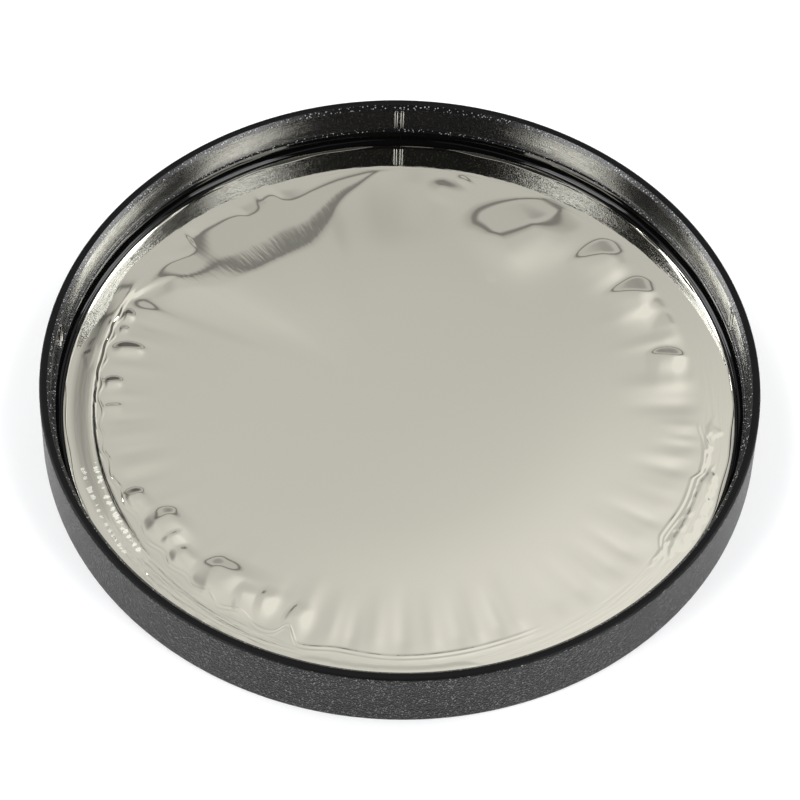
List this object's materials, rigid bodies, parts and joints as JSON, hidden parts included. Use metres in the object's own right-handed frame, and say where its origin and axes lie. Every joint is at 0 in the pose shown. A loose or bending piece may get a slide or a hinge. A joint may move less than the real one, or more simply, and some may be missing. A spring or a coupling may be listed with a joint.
{
  "type": "telescope solar filter",
  "caption": "Slip-on cap that holds a mirror-coated solar film over the front of a telescope tube, with grip ridges in its socket.",
  "frame": {"origin": "centre of the front rim, on the surface that the cap lies on", "axes": "+Z along the cap's axis, out of its open side, towards the telescope; +X to the right as pictured"},
  "size_m": [0.144, 0.144, 0.0145],
  "materials": {
    "black_plastic": "grained",
    "mirror_film": "metallised",
    "clear_tape": "satin"
  },
  "bodies": {
    "root": {"filter_cell": "black_plastic", "solar_film": "mirror_film", "adhesive_ring": "clear_tape"}
  },
  "joints": []
}
